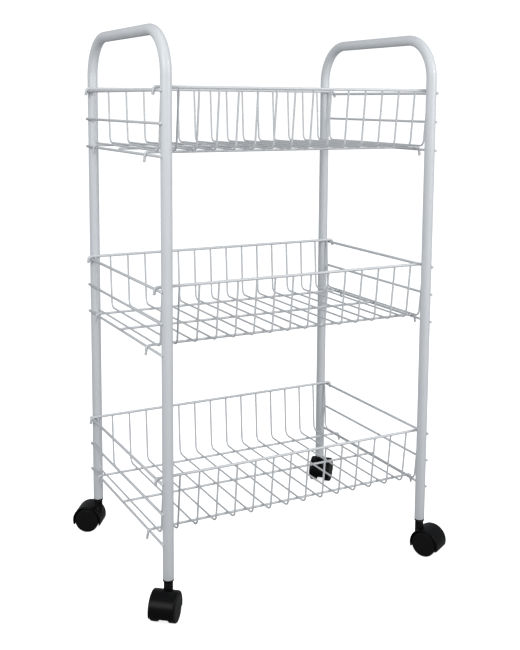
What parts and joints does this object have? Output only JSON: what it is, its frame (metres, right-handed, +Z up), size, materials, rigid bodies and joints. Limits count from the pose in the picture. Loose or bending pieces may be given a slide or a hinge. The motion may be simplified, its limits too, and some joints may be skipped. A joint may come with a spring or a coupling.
{
  "type": "rolling utility cart",
  "caption": "Rolling utility cart with hook-on wire baskets between two bent-tube end frames on swivelling twin-wheel casters.",
  "frame": {"origin": "on the floor, under the middle of the four legs", "axes": "+X to the right along the baskets, +Y to the rear, +Z up"},
  "size_m": [0.5234, 0.3976, 0.832],
  "materials": {
    "powder_coated_tube": "satin white powder coat",
    "powder_coated_wire": "satin white powder coat",
    "black_plastic": "satin black moulding",
    "black_wheel_plastic": "satin black moulding",
    "zinc_plated_steel": "bright zinc plate"
  },
  "bodies": {
    "frame": {"left_frame_tube": "powder_coated_tube", "left_bottom_top_rail": "powder_coated_wire", "left_bottom_guard_rails": "powder_coated_wire", "left_middle_top_rail": "powder_coated_wire", "left_middle_guard_rails": "powder_coated_wire", "left_top_top_rail": "powder_coated_wire", "left_top_guard_rails": "powder_coated_wire", "right_frame_tube": "powder_coated_tube", "right_bottom_top_rail": "powder_coated_wire", "right_bottom_guard_rails": "powder_coated_wire", "right_middle_top_rail": "powder_coated_wire", "right_middle_guard_rails": "powder_coated_wire", "right_top_top_rail": "powder_coated_wire", "right_top_guard_rails": "powder_coated_wire", "front_left_caster_socket": "black_plastic", "front_left_caster_stem": "zinc_plated_steel", "rear_left_caster_socket": "black_plastic", "rear_left_caster_stem": "zinc_plated_steel", "front_right_caster_socket": "black_plastic", "front_right_caster_stem": "zinc_plated_steel", "rear_right_caster_socket": "black_plastic", "rear_right_caster_stem": "zinc_plated_steel"},
    "bottom_basket": {"bottom_basket_ribs": "powder_coated_wire", "bottom_basket_front_rim": "powder_coated_wire", "bottom_basket_front_floor_rod": "powder_coated_wire", "bottom_basket_rear_rim": "powder_coated_wire", "bottom_basket_rear_floor_rod": "powder_coated_wire", "bottom_basket_middle_floor_rod": "powder_coated_wire"},
    "middle_basket": {"middle_basket_ribs": "powder_coated_wire", "middle_basket_front_rim": "powder_coated_wire", "middle_basket_front_floor_rod": "powder_coated_wire", "middle_basket_rear_rim": "powder_coated_wire", "middle_basket_rear_floor_rod": "powder_coated_wire", "middle_basket_middle_floor_rod": "powder_coated_wire"},
    "top_basket": {"top_basket_ribs": "powder_coated_wire", "top_basket_front_rim": "powder_coated_wire", "top_basket_front_floor_rod": "powder_coated_wire", "top_basket_rear_rim": "powder_coated_wire", "top_basket_rear_floor_rod": "powder_coated_wire", "top_basket_middle_floor_rod": "powder_coated_wire"},
    "front_left_swivel": {"front_left_caster_hood": "black_plastic", "front_left_caster_axle": "zinc_plated_steel"},
    "front_left_wheel_a": {"front_left_caster_wheel_a": "black_wheel_plastic"},
    "front_left_wheel_b": {"front_left_caster_wheel_b": "black_wheel_plastic"},
    "rear_left_swivel": {"rear_left_caster_hood": "black_plastic", "rear_left_caster_axle": "zinc_plated_steel"},
    "rear_left_wheel_a": {"rear_left_caster_wheel_a": "black_wheel_plastic"},
    "rear_left_wheel_b": {"rear_left_caster_wheel_b": "black_wheel_plastic"},
    "front_right_swivel": {"front_right_caster_hood": "black_plastic", "front_right_caster_axle": "zinc_plated_steel"},
    "front_right_wheel_a": {"front_right_caster_wheel_a": "black_wheel_plastic"},
    "front_right_wheel_b": {"front_right_caster_wheel_b": "black_wheel_plastic"},
    "rear_right_swivel": {"rear_right_caster_hood": "black_plastic", "rear_right_caster_axle": "zinc_plated_steel"},
    "rear_right_wheel_a": {"rear_right_caster_wheel_a": "black_wheel_plastic"},
    "rear_right_wheel_b": {"rear_right_caster_wheel_b": "black_wheel_plastic"}
  },
  "joints": [
    {"name": "bottom_basket_lift", "type": "slide", "parent": "frame", "child": "bottom_basket", "axis": [0, 0, 1], "range_m": [0, 0.02]},
    {"name": "middle_basket_lift", "type": "slide", "parent": "frame", "child": "middle_basket", "axis": [0, 0, 1], "range_m": [0, 0.02]},
    {"name": "top_basket_lift", "type": "slide", "parent": "frame", "child": "top_basket", "axis": [0, 0, 1], "range_m": [0, 0.02]},
    {"name": "front_left_caster_swivel", "type": "hinge", "parent": "frame", "child": "front_left_swivel", "pos_m": [-0.22, -0.1565, 0.05], "axis": [0, 0, 1], "continuous": true},
    {"name": "front_left_wheel_a_roll", "type": "hinge", "parent": "front_left_swivel", "child": "front_left_wheel_a", "pos_m": [-0.23007, -0.16893, 0.02], "axis": [0.7771, -0.6293, 0], "continuous": true},
    {"name": "front_left_wheel_b_roll", "type": "hinge", "parent": "front_left_swivel", "child": "front_left_wheel_b", "pos_m": [-0.23007, -0.16893, 0.02], "axis": [0.7771, -0.6293, 0], "continuous": true},
    {"name": "rear_left_caster_swivel", "type": "hinge", "parent": "frame", "child": "rear_left_swivel", "pos_m": [-0.22, 0.1565, 0.05], "axis": [0, 0, 1], "continuous": true},
    {"name": "rear_left_wheel_a_roll", "type": "hinge", "parent": "rear_left_swivel", "child": "rear_left_wheel_a", "pos_m": [-0.23327, 0.16545, 0.02], "axis": [-0.5592, -0.829, 0], "continuous": true},
    {"name": "rear_left_wheel_b_roll", "type": "hinge", "parent": "rear_left_swivel", "child": "rear_left_wheel_b", "pos_m": [-0.23327, 0.16545, 0.02], "axis": [-0.5592, -0.829, 0], "continuous": true},
    {"name": "front_right_caster_swivel", "type": "hinge", "parent": "frame", "child": "front_right_swivel", "pos_m": [0.22, -0.1565, 0.05], "axis": [0, 0, 1], "continuous": true},
    {"name": "front_right_wheel_a_roll", "type": "hinge", "parent": "front_right_swivel", "child": "front_right_wheel_a", "pos_m": [0.22751, -0.17063, 0.02], "axis": [0.8829, 0.4695, 0], "continuous": true},
    {"name": "front_right_wheel_b_roll", "type": "hinge", "parent": "front_right_swivel", "child": "front_right_wheel_b", "pos_m": [0.22751, -0.17063, 0.02], "axis": [0.8829, 0.4695, 0], "continuous": true},
    {"name": "rear_right_caster_swivel", "type": "hinge", "parent": "frame", "child": "rear_right_swivel", "pos_m": [0.22, 0.1565, 0.05], "axis": [0, 0, 1], "continuous": true},
    {"name": "rear_right_wheel_a_roll", "type": "hinge", "parent": "rear_right_swivel", "child": "rear_right_wheel_a", "pos_m": [0.23111, 0.16801, 0.02], "axis": [-0.7193, 0.6947, 0], "continuous": true},
    {"name": "rear_right_wheel_b_roll", "type": "hinge", "parent": "rear_right_swivel", "child": "rear_right_wheel_b", "pos_m": [0.23111, 0.16801, 0.02], "axis": [-0.7193, 0.6947, 0], "continuous": true}
  ]
}
